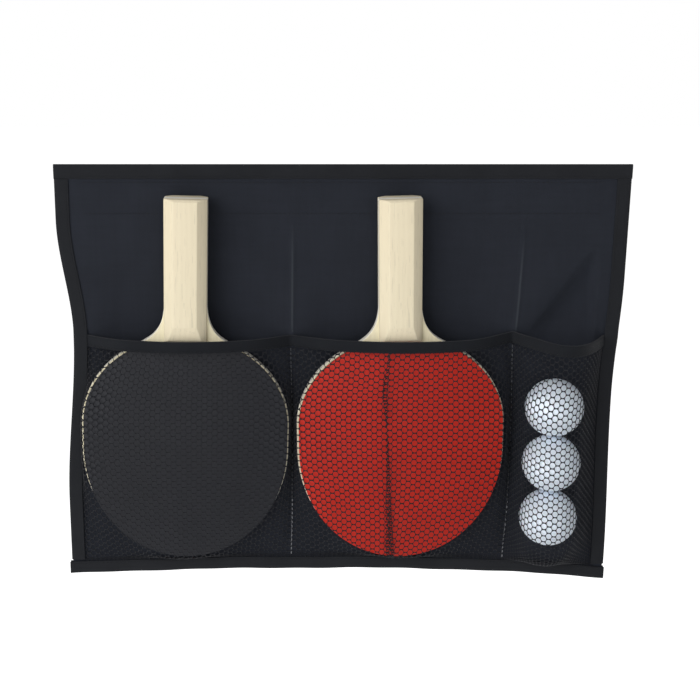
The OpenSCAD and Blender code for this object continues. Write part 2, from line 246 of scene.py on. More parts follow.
def ball_section(z):
    """The net's line round the balls at height z, as points [x, depth] in front of its seams."""
    left, right = seam_at(2, z), seam_at(3, z)
    up = float(np.clip((z - Z_SEAM) / (BALL_Z - Z_SEAM), 0, 1))
    centre_depth = -BALL_Y + Y_FRONT - SEAM_LIFT
    front = (centre_depth + BALL_ROUND) * (1 - (1 - up) ** FOOT_ROUND) ** (1 / FOOT_ROUND)
    waist = 1 - math.cos(2 * math.pi * (z - BALL_Z) / BALL_PITCH) if BALL_Z < z < BALL_TOP else 0
    radius = BALL_ROUND * mix(0.6, 1, math.sqrt(up)) - 0.5 * waist
    centre = np.array([BALL_X, front - radius - 0.3 * waist])
    touch = []
    for end, side in ((left, -1), (right, 1)):
        to_end = np.array([end, 0.0]) - centre
        angle = math.atan2(to_end[1], to_end[0])
        if side < 0:
            angle %= 2 * math.pi
        touch.append(angle + side * math.acos(min(1, radius / np.linalg.norm(to_end))))
    arc = np.linspace(*touch, 90)
    round_part = centre + radius * np.column_stack([np.cos(arc), np.sin(arc)])
    hull = resample(np.vstack([[left, 0], round_part, [right, 0]]), BALL_POINTS)
    hull[:, 1] = np.maximum(hull[:, 1], 0)
    across = np.linspace(0, 1, BALL_POINTS)
    open_arc = np.column_stack([mix(left, right, across), 4 * MOUTH_DEPTH[2] * across * (1 - across)])
    open_arc = resample(open_arc, BALL_POINTS)
    share = float(ease((z - BALL_TOP + 4) / (Z_BAND - BALL_TOP)))
    return mix(hull, open_arc, share)


def mouth_lift(x, z):
    """The mouths' edge rides a little higher beside the balls."""
    over = ease((x - SEAM_X[2]) / 12) * ease((SEAM_X[3] - x) / 12)
    return (2.6 * bump_at(x, SEAM_X[2], 18) + 0.8 * over) * ease((z + 150) / 50)


def net_section(k, z):
    """The net's middle line at height z, from seam to seam, as points [x, y]."""
    level = min(max(z, Z_SEAM), Z_BAND)
    left, right = seam_at(k, level), seam_at(k + 1, level)
    if k == 2:
        line = ball_section(level)
    else:
        share = (1 - np.cos(np.linspace(0, math.pi, 301))) / 2
        x = mix(left, right, share)
        line = np.column_stack([x, bat_section(k, x, level) * ease((level - Z_SEAM) / 0.5 + 0.02)])
        line[0, 1] = line[-1, 1] = 0
    if k == 0:
        line = np.vstack([[left - TUCK, 0], line])
    if k == 2:
        line = np.vstack([line, [right + TUCK, 0]])
    under = float(np.clip((level - Z_SEAM) / 3, 0, 1))
    y = panel_front(line[:, 0], level) * under + Y_FRONT * (1 - under)
    held = np.exp(-np.clip(np.minimum(line[:, 0] - left, right - line[:, 0]), 0, None) / 6)
    y = mix(Y_FRONT, y, held)
    return np.column_stack([line[:, 0], y - SEAM_LIFT - line[:, 1]])


def lengths_along(line):
    return np.concatenate([[0], np.cumsum(np.linalg.norm(np.diff(line, axis=0), axis=1))])


def points_at(line, along, at):
    return np.column_stack([np.interp(at, along, column) for column in line.T])


def resample(line, count):
    along = lengths_along(line)
    return points_at(line, along, np.linspace(0, along[-1], count))


# The middle net is gathered in one upright pleat over the bat: heights, places and widths.
PLEAT_Z = (-270, -246, -205, -170, -135, -103)
PLEAT_X = (34.6, 34.2, 33.2, 31.8, 29.2, 30.6)
PLEAT_W = (6.5, 5.5, 3.4, 2.8, 2.8, 3.0)
PLEAT_LAYER = 0.75


def pleated(line, z):
    """Folds the section to the right, back to the left and to the right again over its pleat."""
    place = float(np.interp(z, PLEAT_Z, PLEAT_X))
    width = float(np.interp(z, PLEAT_Z, PLEAT_W))
    layer = PLEAT_LAYER * float(ease((Z_BAND - z) / 14)) * float(ease((z - Z_SEAM) / 6))
    along = lengths_along(line)
    start = float(np.interp(place, line[:, 0], along))
    end = start + width

    def stretch(first, last, count, lift):
        at = np.linspace(first, last, count)
        return points_at(line, along, at) - np.outer(lift(at), (0, 1))

    flat = stretch(0, end, 120, lambda at: 0 * at)
    back = stretch(end, start, 10, lambda at: layer + 0 * at)
    over = stretch(start, along[-1], 130, lambda at: 2 * layer * (1 - ease((at - end) / 7)))
    return np.vstack([flat, back, over])


# ---- Finishes ----

def feed(tree, socket, value):
    """Links a number or a node's output to a socket, or sets what the socket holds."""
    if isinstance(value, Value):
        value = value.socket
    if hasattr(value, "is_output"):
        tree.links.new(value, socket)
    else:
        socket.default_value = value


class Value:
    """A number in a finish: arithmetic on it adds the Math nodes."""

    def __init__(self, tree, socket):
        self.tree, self.socket = tree, socket

    def op(self, operation, *others, swap=False):
        node = self.tree.nodes.new("ShaderNodeMath")
        node.operation = operation
        for i, term in enumerate((*others, self) if swap else (self, *others)):
            feed(self.tree, node.inputs[i], term)
        return Value(self.tree, node.outputs[0])

    __add__ = __radd__ = partialmethod(op, "ADD")
    __sub__ = partialmethod(op, "SUBTRACT")
    __rsub__ = partialmethod(op, "SUBTRACT", swap=True)
    __mul__ = __rmul__ = partialmethod(op, "MULTIPLY")
    __truediv__ = partialmethod(op, "DIVIDE")
    __pow__ = partialmethod(op, "POWER")
    __abs__ = partialmethod(op, "ABSOLUTE")
    above = partialmethod(op, "GREATER_THAN")
    sine = partialmethod(op, "SINE")

    def within(self):
        return self.op("MAXIMUM", 0).op("MINIMUM", 1)


class Finish:
    """A material for one of the holder's finishes."""

    def __init__(self, name, roughness, **sockets):
        self.material = bpy.data.materials.new(name)
        self.material.use_nodes = True
        self.tree = self.material.node_tree
        self.shader = self.tree.nodes["Principled BSDF"]
        self.set("Roughness", roughness)
        for socket, value in sockets.items():
            self.set(socket.replace("_", " "), value)
        coordinates = self.tree.nodes.new("ShaderNodeTexCoord")
        self.place = coordinates.outputs["Object"]
        self.uv = coordinates.outputs["UV"]

    def set(self, socket, value):
        feed(self.tree, self.shader.inputs[socket], value)

    def node(self, kind, **inputs):
        node = self.tree.nodes.new(kind)
        for name, value in inputs.items():
            feed(self.tree, node.inputs[name.replace("_", " ")], value)
        return node.outputs[0]

    def axes(self, source=None):
        split = self.tree.nodes.new("ShaderNodeSeparateXYZ")
        feed(self.tree, split.inputs[0], source or self.place)
        return [Value(self.tree, out) for out in split.outputs]

    def noise(self, scale, detail, stretch=(1, 1, 1), roughness=0.5):
        mapped = self.node("ShaderNodeMapping", Vector=self.place, Scale=stretch)
        out = self.node("ShaderNodeTexNoise", Vector=mapped, Scale=scale, Detail=detail, Roughness=roughness)
        return Value(self.tree, out)

    def blend(self, factor, first, second):
        node = self.tree.nodes.new("ShaderNodeMix")
        node.data_type = "RGBA"
        for i, value in ((0, factor), (6, first), (7, second)):
            feed(self.tree, node.inputs[i], (*value, 1) if isinstance(value, tuple) else value)
        return node.outputs[2]

    def done(self, colour, height, distance, strength=1.0, roughness=None):
        """The material, with its colour and relief, and its roughness where that varies."""
        self.set("Base Color", colour)
        if roughness:
            self.set("Roughness", roughness)
        self.set("Normal", self.node("ShaderNodeBump", Height=height, Distance=distance, Strength=strength))
        return self.material


def weave_height(across, along, pitch):
    """Plain weave: threads that pass over and under each other at the given pitch."""
    turn = math.pi / pitch
    a = (across * turn).sine()
    b = (along * turn).sine()
    over = (a * b).above(0)
    return abs(a) * over + abs(b) * (1 - over)


def panel_finish():
    finish = Finish("woven_polyester", 0.78, Sheen_Weight=0.05, Sheen_Roughness=0.5,
                    Specular_IOR_Level=0.12)
    finish.set("Sheen Tint", (0.55, 0.6, 0.75, 1))
    x, y, z = finish.axes()
    height = weave_height(x, z, 0.55 * MM)
    cloudy = finish.noise(26, 3)
    slub = finish.noise(420, 2, (1, 1, 0.08)) + finish.noise(420, 2, (0.08, 1, 1))
    shade = (height * 0.35 + cloudy * 0.5 + slub * 0.25).within()
    colour = finish.blend(shade, (0.0072, 0.0082, 0.0113), (0.0190, 0.0218, 0.0300))
    crease_patchiness = finish.noise(90, 3, (1, 1, 0.3))
    # Paler lines are drawn along the two creases on the panel's front, patchy along their length.
    for (start, lean), top in zip(CREASES, (-0.016, -0.026)):
        line = (1 - abs(x - (start * MM) - (z - CREASE_FOOT * MM) * lean) / 0.0011).within()
        reach = ((z + 0.094) / 0.006).within() * ((top - z) / 0.03).within() * (1 - y.above(-0.0036))
        colour = finish.blend(line * reach * (crease_patchiness * 0.7 + 0.15), colour, (0.060, 0.068, 0.078))
    roughness = 0.9 - height * 0.18
    return finish.done(colour, height + slub * 0.35, 0.00016, 0.8, roughness)


def tape_finish(name, dark, light, fold):
    """Ribbed tape with a painted highlight along its fold, which lies at the given distance over the tape.
    """
    finish = Finish(name, 0.7, Sheen_Weight=0.03, Sheen_Roughness=0.4, Specular_IOR_Level=0.09)
    u, v, _ = finish.axes(finish.uv)
    rib = abs((u * (math.pi / 0.62)).sine()) ** 0.7
    selvedge = abs((v * (math.pi / 0.5)).sine())
    worn = finish.noise(60, 3)
    shade = (rib * 0.55 + worn * 0.45).within()
    colour = finish.blend(shade, dark, light)
    # Painted highlight: a lighter colour along the tape's fold, made patchy by the same noise as the tape's
    # tone.
    edge = (1 - abs(v - fold) / 0.55).within() * (worn * 1.1 + 0.2)
    colour = finish.blend(edge.within(), colour, (0.046, 0.047, 0.052))
    roughness = 0.85 - rib * 0.2
    height = rib + selvedge * 0.3 + finish.noise(900, 1) * 0.2
    return finish.done(colour, height, 0.00022, 0.8, roughness)


def net_finish():
    finish = Finish("knitted_yarn", 0.6, Sheen_Weight=0.03, Sheen_Roughness=0.4, Specular_IOR_Level=0.14)
    fibre = finish.noise(1500, 2)
    cloudy = finish.noise(30, 2)
    shade = (fibre * 0.6 + cloudy * 0.4).within()
    colour = finish.blend(shade, (0.0055, 0.0058, 0.0074), (0.0168, 0.0177, 0.0220))
    return finish.done(colour, fibre, 0.00012, 0.7)


def thread_finish(name, dark, light):
    finish = Finish(name, 0.75, Sheen_Weight=0.02, Specular_IOR_Level=0.15)
    twist = finish.noise(2600, 1)
    return finish.done(finish.blend(twist, dark, light), twist, 0.00005, 0.8)


def wood_finish(name, bat, pale, deep, plies=False):
    """Wood in one bat's own coordinates: across it, out of its face and up it from the blade's foot."""
    finish = Finish(name, 0.48, Specular_IOR_Level=0.4)
    turn = bat_matrix(bat).inverted()
    finish.place = finish.node("ShaderNodeMapping", Vector=finish.place,
                               Location=turn.translation, Rotation=turn.to_euler())
    x, y, _ = finish.axes()
    drift = finish.noise(9, 3, (1, 1, 0.35))
    grain = abs(((x + drift * 0.012) * 900 + y * 380).sine()) ** 2.0
    fibre = finish.noise(520, 4, (1, 1, 0.035))
    pores = finish.noise(1500, 1, (1, 1, 0.05)).above(0.66)
    shade = (grain * 0.20 + fibre * 0.38 + drift * 0.25 - 0.05).within()
    colour = finish.blend(shade, pale, deep)
    colour = finish.blend(pores * 0.25, colour, tuple(0.55 * c for c in deep))
    warm = (finish.noise(16, 2, (1, 1, 0.5)) - 0.4).within()
    colour = finish.blend(warm * 0.5, colour, (pale[0], pale[1] * 0.9, pale[2] * 0.84))
    if plies:
        core = 1 - abs(y).above(2.85 * MM)
        band = abs((y * (math.pi / (2.4 * MM))).sine()).above(0.75) * core
        colour = finish.blend(core * 0.75, colour, (0.93, 0.91, 0.86))
        colour = finish.blend(band * 0.22, colour, tuple(0.6 * c for c in deep))
    roughness = 0.42 + fibre * 0.16
    return finish.done(colour, fibre * 0.7 + grain * 0.2, 0.00007, 0.6, roughness)


def rubber_finish(name, colour, deep, dust):
    finish = Finish(name, 0.5, Specular_IOR_Level=0.22)
    scuff = finish.noise(14, 4, roughness=0.6)
    grit = finish.noise(1900, 2)
    streak = finish.noise(60, 3, (1, 1, 0.25))
    shade = (scuff * 0.6 + streak * 0.4).within()
    base = finish.blend(shade, deep, colour)
    colour = finish.blend((streak - 0.55).within() * 0.6, base, dust)
    return finish.done(colour, grit, 0.00004, 0.5, 0.38 + scuff * 0.25)


def sponge_finish():
    finish = Finish("sponge", 0.95, Specular_IOR_Level=0.15)
    cells = finish.node("ShaderNodeTexVoronoi", Vector=finish.place, Scale=2600.0)
    return finish.done(finish.blend(cells, (0.02, 0.02, 0.022), (0.07, 0.07, 0.075)), cells, 0.0002)


def ball_finish(name, centre):
    finish = Finish(name, 0.36, Specular_IOR_Level=0.4, Subsurface_Weight=0.05, Subsurface_Scale=0.002)
    mapped = finish.node("ShaderNodeMapping", Vector=finish.place, Location=tuple(-c for c in centre))
    x, y, z = finish.axes(mapped)
    band = (1 - abs(z + x * 0.5 + y * 0.35) / 0.00035).within()
    scuff = finish.noise(55, 4, roughness=0.65)
    fine = finish.noise(2400, 1)
    marks = (scuff - 0.58).within() * 1.2
    base = finish.blend(marks.within(), (0.81, 0.88, 0.97), (0.68, 0.72, 0.77))
    colour = finish.blend(band * 0.3, base, (0.55, 0.56, 0.58))
    roughness = 0.32 + scuff * 0.2
    return finish.done(colour, fine * 0.4 + band * 0.8, 0.00004, 0.7, roughness)


def fixing_finish(name, dark, light, pitch):
    finish = Finish(name, 0.75, Sheen_Weight=0.1, Specular_IOR_Level=0.3)
    x, _, z = finish.axes()
    tuft = abs((x * (math.pi / pitch)).sine()) * abs((z * (math.pi / pitch)).sine())
    fuzz = finish.noise(1300, 2)
    colour = finish.blend((tuft * 0.7 + fuzz * 0.3).within(), dark, light)
    return finish.done(colour, tuft + fuzz * 0.6, 0.0003, 0.8)


# ---- Making pieces ----

def add_object(name, data):
    made = bpy.data.objects.new(name, data)
    bpy.context.scene.collection.objects.link(made)
    return made


def piece(name, points, faces, finish, uvs=None):
    """Adds a piece of the holder made of quads, from points in millimetres."""
    mesh = bpy.data.meshes.new(name)
    mesh.vertices.add(len(points))
    mesh.vertices.foreach_set("co", (points * MM).ravel())
    corners = faces.astype(np.int32).ravel()
    mesh.loops.add(len(corners))
    mesh.loops.foreach_set("vertex_index", corners)
    mesh.polygons.add(len(faces))
    mesh.polygons.foreach_set("loop_start", np.arange(0, len(corners), 4, dtype=np.int32))
    if uvs is not None:
        mesh.uv_layers.new(name="UVMap").data.foreach_set("uv", uvs[corners].ravel())
    mesh.polygons.foreach_set("use_smooth", np.ones(len(faces), dtype=bool))
    mesh.update(calc_edges=True)
    mesh.validate()
    made = add_object(name, mesh)
    mesh.materials.append(finish)
    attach(made, "holder")
    return made


def choose(thing):
    bpy.ops.object.select_all(action="DESELECT")
    thing.select_set(True)
    bpy.context.view_layer.objects.active = thing


def face_outwards():
    """Turns the normals of the mesh being edited outwards and leaves edit mode."""
    bpy.ops.mesh.select_all(action="SELECT")
    bpy.ops.mesh.normals_make_consistent()
    bpy.ops.object.mode_set(mode="OBJECT")


def bevel(thing, width, segments, angle, smooth):
    """Rounds the edges that turn by more than one angle, in degrees, and shades the rest by another."""
    modifier = thing.modifiers.new("bevel", "BEVEL")
    modifier.width = width * MM
    modifier.segments = segments
    modifier.limit_method = "ANGLE"
    modifier.angle_limit = math.radians(angle)
    choose(thing)
    bpy.ops.object.modifier_apply(modifier=modifier.name)
    bpy.ops.object.shade_smooth_by_angle(angle=math.radians(smooth))


def grid_faces(rows, columns, close=False):
    """Quads of a grid; with close, the last column joins the first."""
    i = np.arange(rows - 1)[:, None] * columns
    j = np.arange(columns if close else columns - 1)
    k = (j + 1) % columns
    return np.stack([i + j, i + k, i + columns + k, i + columns + j], -1).reshape(-1, 4)


def skin(front, back):
    """A closed sheet from two grids of points [rows, columns, 3]; rows go up, columns to the right."""
    rows, columns, _ = front.shape
    n = rows * columns
    points = np.concatenate([front.reshape(-1, 3), back.reshape(-1, 3)])
    face = grid_faces(rows, columns)
    rim = np.concatenate([
        np.arange(columns), np.arange(1, rows) * columns + columns - 1,
        (rows - 1) * columns + np.arange(columns - 2, -1, -1), np.arange(rows - 2, 0, -1) * columns])
    after = np.roll(rim, -1)
    side = np.stack([rim, rim + n, after + n, after], -1)
    return points, np.concatenate([face, face[:, ::-1] + n, side])


# ---- The panel ----

# The slanting fold beside the ball pocket: its middle, its lean with the length of (1, lean), its
# half length, and the depth and width of its left and right flanks.
FOLD_X, FOLD_Z = 149.4, -66
FOLD_LEAN, FOLD_NORM = 0.70, 1.221
FOLD_L = 36
FLANKS = ((2.6, 22), (8.5, 30))
# The upright creases from the dividers to the fixing: the place of each at its foot, and its lean.
CREASE_FOOT = -95
CREASES = ((SEAM_X[1] - 0.5, 0.0), (SEAM_X[2] - 0.6, 0.04))
CREASE_DEPTH, CREASE_W = 0.7, 1.2
# How far the panel's back follows a fold forwards.
BACK_GIVE = 1.2


def crease_x(k, z):
    foot, lean = CREASES[k]
    return foot + (z - CREASE_FOOT) * lean


def panel_folds(x, z):
    """Soft folds of the panel above and beside the pockets; forwards is negative."""
    open_cloth = ease((Z_FLAT + 4 - z) / 22) * ease((z - Z_MOUTH + 24) / 22)
    across = (x - FOLD_X - FOLD_LEAN * (z - FOLD_Z)) / FOLD_NORM
    along = (FOLD_LEAN * (x - FOLD_X) + z - FOLD_Z) / FOLD_NORM
    left, right = (depth * bump_at(across, 0, width) for depth, width in FLANKS)
    flank = np.where(across < 0, left, right)
    slanting = flank * np.tanh(across / 10) * np.exp(-((along / FOLD_L) ** 4)) * ease((181 - x) / 10)
    creases = -CREASE_DEPTH * sum(bump_at(x, crease_x(k, z), CREASE_W) for k in (0, 1))
    drawn = 0.55 * np.sin((x + 20) / 11) * bump_at(x, SEAM_X[1], 30) * ease((-20 - z) / 60)
    return (slanting + creases + drawn) * open_cloth


def make_panel(finish):
    z_low = Z_BAT + 14
    z = np.concatenate([np.linspace(Z_FOOT, Z_SEAM, 8)[:-1], np.linspace(Z_SEAM, z_low, 26)[:-1],
                        np.linspace(z_low, Z_TOP, 130)])[:, None]
    x = mix(left_edge(z), right_edge(z), np.linspace(0, 1, 261)[None, :])
    z = z + 0 * x
    front = panel_front(x, z) + np.where((x > SEAM_X[0] + 12) & (x < 176), panel_folds(x, z), 0)
    back = np.maximum(front, panel_front(x, z) - BACK_GIVE) + PANEL_T
    low = hang(x, z)
    points, faces = skin(vectors(x, front, low), vectors(x, back, low))
    made = piece("panel_cloth", points, faces, finish)
    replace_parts(made, "back_panel")
    return made


# ---- The nets: a knitted lattice of round holes ----

HOLE_PITCH = 4.72
COLUMN_PITCH = 3.4
HOLE_HALF = (1.87, 2.04)
YARN_HALF_T = 0.28
KNOT_HALF_T = 0.36
NET_GRID = 500
RING = [(-2 / 3, 0), (-0.5, -0.25), (-1 / 3, -0.5), (0, -0.5), (1 / 3, -0.5), (0.5, -0.25),
        (2 / 3, 0), (0.5, 0.25), (1 / 3, 0.5), (0, 0.5), (-1 / 3, 0.5), (-0.5, 0.25)]


def net_surface(k):
    """The net's middle surface on a fine grid, the lengths up its middle column and its width."""
    z = np.concatenate([np.linspace(Z_FOOT + 1, Z_SEAM, 8)[:-1], np.linspace(Z_SEAM, Z_BAT, 40)[:-1],
                        np.linspace(Z_BAT, Z_MOUTH - BAND_T - SLACK, 330)])
    rows, widths = [], []
    for level in z:
        line = net_section(k, level)
        if k == 1:
            line = pleated(line, level)
        widths.append(lengths_along(line)[-1])
        line = resample(line, NET_GRID + 1)
        low = hang(line[:, 0], level + 0 * line[:, 0]) + mouth_lift(line[:, 0], level)
        rows.append(np.column_stack([line, low]))
    surface = np.array(rows)
    return surface, lengths_along(surface[:, NET_GRID // 2]), float(np.median(widths))


def loosen(k, surface):
    """The net's surface, swollen a little where it is free and always outwards, and its normals."""
    across = np.gradient(surface, axis=1)
    up = np.gradient(surface, axis=0)
    normal = np.cross(across, up)
    normal /= np.linalg.norm(normal, axis=2, keepdims=True)
    x, z = surface[..., 0], surface[..., 2]
    away = ease((Z_MOUTH - 12 - z) / 18) * ease((z - Z_SEAM - 2) / 14)
    side = ease((x - SEAM_X[k] - 3) / 10) * ease((SEAM_X[k + 1] - 3 - x) / 10)
    wave = 0.5 + 0.5 * np.sin(x / 8.5 + z / 21 + k) * np.sin(z / 13 - x / 26 + 2 * k)
    amount = (1.1 if k < 2 else 0.5) * wave * away * side
    return surface + normal * amount[..., None], normal


def sample(table, row, column):
    """Bilinear value of a grid of vectors at fractional rows and columns."""
    row = np.clip(row, 0, table.shape[0] - 1.001)
    column = np.clip(column, 0, table.shape[1] - 1.001)
    i, j = row.astype(int), column.astype(int)
    s, t = (row - i)[:, None], (column - j)[:, None]
    low = table[i, j] * (1 - t) + table[i, j + 1] * t
    high = table[i + 1, j] * (1 - t) + table[i + 1, j + 1] * t
    return low * (1 - s) + high * s


def lattice(columns, rows):
    """Ridge points, hole points and their quads, in cells; holes stand in staggered columns."""
    ridge = {}
    ridge_at, hole_at, quads = [], [], []
    for c in range(columns):
        for r in range(rows if c % 2 == 0 else rows - 1):
            centre = (c + 0.5, r + 0.5 + 0.5 * (c % 2))
            ring = []
            for a, b in RING:
                at = (centre[0] + a, centre[1] + b)
                key = (round(at[0] * 6), round(at[1] * 4))
                if key not in ridge:
                    ridge[key] = len(ridge_at)
                    ridge_at.append(at)
                ring.append(ridge[key])
            first = len(hole_at)
            for a, b in RING:
                share = 1 / math.hypot(a * COLUMN_PITCH / HOLE_HALF[0], b * HOLE_PITCH / HOLE_HALF[1])
                hole_at.append((centre[0] + a * share, centre[1] + b * share))
            for i in range(len(RING)):
                j = (i + 1) % len(RING)
                quads.append((ring[i], ring[j], first + j, first + i))
    return np.array(ridge_at), np.array(hole_at), np.array(quads)


def make_net(k, name, finish):
    surface, up_lengths, width = net_surface(k)
    surface, normal = loosen(k, surface)
    columns = int(width / COLUMN_PITCH)
    rows = int(up_lengths[-1] / HOLE_PITCH)
    ridge, hole, quads = lattice(columns, rows)

    def place(at):
        column = (at[:, 0] + 1 / 6) / (columns + 1 / 3) * NET_GRID
        height = at[:, 1] / rows * up_lengths[-1]
        row = np.interp(height, up_lengths, np.arange(len(up_lengths)))
        return sample(surface, row, column), sample(normal, row, column)

    middle, out = place(ridge)
    holes, _ = place(hole)
    knots = (ridge[:, 1] * 2) % 1 < 0.01
    half = np.where(knots, KNOT_HALF_T, YARN_HALF_T)[:, None]
    n = len(ridge)
    points = np.concatenate([middle + out * half, middle - out * half, holes])
    front = quads + [0, 0, 2 * n, 2 * n]
    back = quads + [n, n, 2 * n, 2 * n]
    edges = np.sort(quads[:, :2], axis=1)
    _, index, count = np.unique(edges, axis=0, return_index=True, return_counts=True)
    start, end = quads[index[count == 1]][:, :2].T
    rim = np.stack([end, start, start + n, end + n], -1)
    made = piece(name, points, np.concatenate([front, back[:, ::-1], rim]), finish)
    return made


# ---- Tapes folded over an edge ----

def fold_profile(width, front, back, t):
    """Outline of a folded tape: [distance from the fold, distance forwards], from the front's inner end."""
    half = (front + back) / 2
    centre = (front - back) / 2
    turn = np.linspace(math.pi / 2, -math.pi / 2, 9)
    outer = [(width - 0.2, front), (width * 0.66, front + 0.06), (width * 0.33, front + 0.03)]
    outer += [(half - half * math.cos(a), centre + half * math.sin(a)) for a in turn]
    outer += [(width * 0.33, -back - 0.03), (width * 0.66, -back - 0.06), (width - 0.2, -back)]
    inner = [(width, -back + t * 0.5), (width - 0.15, -back + t), (width * 0.5, -back + t)]
    inner += [(half - (half - t) * math.cos(a), centre + (half - t) * math.sin(a)) for a in turn[::-1]]
    inner += [(width * 0.5, front - t), (width - 0.15, front - t), (width, front - t * 0.5)]
    return np.array(outer + inner)


def folded_tape(name, path, inwards, forwards, profile, finish):
    """Sweeps a folded tape's outline along the fold's path and closes both ends."""
    along = lengths_along(path)
    ring = path[:, None] + profile[..., :1] * inwards[:, None] + profile[..., 1:] * forwards[:, None]
    rows, columns = ring.shape[:2]
    one = profile if profile.ndim == 2 else profile[0]
    around = lengths_along(np.vstack([one, one[:1]]))[:-1]
    uvs = np.stack(np.broadcast_arrays(along[:, None], around), -1)
    faces = grid_faces(rows, columns, close=True)
    half = columns // 2
    cap = np.array([(i, i + 1, columns - 2 - i, columns - 1 - i) for i in range(half - 1)])
    faces = np.concatenate([faces, cap[:, ::-1], cap + (rows - 1) * columns])
    made = piece(name, ring.reshape(-1, 3), faces, finish, uvs.reshape(-1, 2))
    choose(made)
    bpy.ops.object.mode_set(mode="EDIT")
    face_outwards()
    bpy.ops.object.shade_smooth_by_angle(angle=math.radians(50))
    return made


def vectors(x, y, z):
    return np.stack(np.broadcast_arrays(x, y, z), -1).astype(float)


def side_path(side):
    z = np.linspace(Z_SEAM + 1.5, Z_TOP - BINDING_W - SLACK, 150)
    edge = left_edge(z) if side < 0 else right_edge(z)
    return edge + side * (SLACK + BINDING_T), z


def make_bindings(finish):
    h = PANEL_T / 2 + SLACK + BINDING_T
    y_mid = Y_FRONT + PANEL_T / 2
    width = BINDING_W + SLACK + BINDING_T
    made = []
    for edge, side in (("left", -1), ("right", 1)):
        x, z = side_path(side)
        profiles = []
        for level, fold in zip(z, x):
            over_net = float(ease((Z_MOUTH + 6 - level) / 6)) * (NET_T + 0.3)
            over_band = 1.5 * math.exp(-(((level - Z_BAND - 4) / 5.5) ** 4))
            profile = fold_profile(width, h + max(over_net, over_band), h, BINDING_T)
            profile[profile[:, 1] > 0, 0] *= abs(tape_inner(side, level) - fold) / width
            profiles.append(profile)
        tape = folded_tape(f"{edge}_edge_tape", vectors(x, y_mid, hang(x, z)), vectors(-side + 0 * z, 0, 0),
                           vectors(0 * z, -1, 0), np.array(profiles), finish)
        made.append(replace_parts(tape, f"{edge}_binding"))
    x = np.linspace(-PANEL_W / 2 - SLACK - BINDING_T, PANEL_W / 2 + SLACK + BINDING_T, 240)
    wave = 0.25 * np.sin(x / 17) + 0.15 * np.sin(x / 6.3)
    foot = hang(x, Z_FOOT + 0 * x) - SLACK - BINDING_T + wave
    for edge, z, into, profile in (
            ("top", Z_TOP + SLACK + BINDING_T, -1, fold_profile(width, h, h, BINDING_T)),
            ("bottom", foot, 1, fold_profile(width - 0.4, h + NET_T + SLACK, h, BINDING_T))):
        tape = folded_tape(f"{edge}_edge_tape", vectors(x, y_mid, z), vectors(0 * x, 0, into),
                           vectors(0 * x, -1, 0), profile, finish)
        made.append(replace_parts(tape, f"{edge}_binding"))
    return made


def band_path():
    """The line of the tape over the pockets' mouths, with its forward directions, mitred at the corners."""
    reach, spacing, blur = 12, 0.47, 1.6
    line = np.concatenate([resample(net_section(k, Z_BAND), 150) for k in range(3)])
    line = resample(line, 900)
    weight = np.exp(-((np.arange(-reach, reach + 1) * spacing / blur) ** 2) / 2)
    padded = np.vstack([line[:1]] * reach + [line] + [line[-1:]] * reach)
    line = np.column_stack([np.convolve(padded[:, i], weight / weight.sum(), "valid") for i in (0, 1)])
    line = resample(line, 450)
    step = np.diff(line, axis=0)
    step /= np.linalg.norm(step, axis=1, keepdims=True)
    both = np.vstack([step[:1], step]) + np.vstack([step, step[-1:]])
    stretch = 2 / np.maximum(0.7, (both * both).sum(axis=1, keepdims=True))
    forwards = np.column_stack([both[:, 1], -both[:, 0]]) * stretch
    return line, forwards


def make_band(finish):
    line, forwards = band_path()
    z = Z_MOUTH + mouth_lift(line[:, 0], Z_MOUTH)
    h = NET_T / 2 + SLACK + BAND_T
    tape = folded_tape("mouth_tape", vectors(line[:, 0], line[:, 1], z), vectors(0 * z, 0, -1),
                       vectors(forwards[:, 0], forwards[:, 1], 0 * z),
                       fold_profile(BAND_H, h, h, BAND_T), finish)
    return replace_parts(tape, "pocket_band")


# ---- Sewing ----

def stitches(name, runs, finish, length=2.1, gap=0.9, radius=0.2):
    """Rows of lock stitches. Each run is a path of points and the direction out of the cloth."""
    sides, rings = 5, np.array([0, 0.14, 0.5, 0.86, 1])
    swell = np.array([0.35, 0.85, 1, 0.85, 0.35])
    rise = np.array([-0.7, 0.25, 0.55, 0.25, -0.7])
    angle = np.arange(sides) / sides * 2 * math.pi
    points, faces = [], []
    base = grid_faces(len(rings), sides, close=True)
    for path, out in runs:
        out = np.broadcast_to(out, path.shape)
        along = lengths_along(path)
        count = int(along[-1] / (length + gap))
        for i in range(count):
            start = (i + 0.5 * gap / (length + gap)) * along[-1] / count
            at = start + rings * length
            centre = points_at(path, along, at)
            lift = points_at(out, along, at)
            lift /= np.linalg.norm(lift, axis=1, keepdims=True)
            forward = centre[-1] - centre[0]
            forward /= np.linalg.norm(forward)
            across = np.cross(forward, lift)
            centre = centre + lift * (rise * radius)[:, None]
            ring = (centre[:, None] + (np.cos(angle)[:, None] * across[:, None]
                    + np.sin(angle)[:, None] * lift[:, None]) * (swell * radius)[:, None, None])
            faces.append(base + len(points) * len(rings) * sides)
            points.append(ring.reshape(-1, 3))
    return piece(name, np.concatenate(points), np.concatenate(faces), finish)


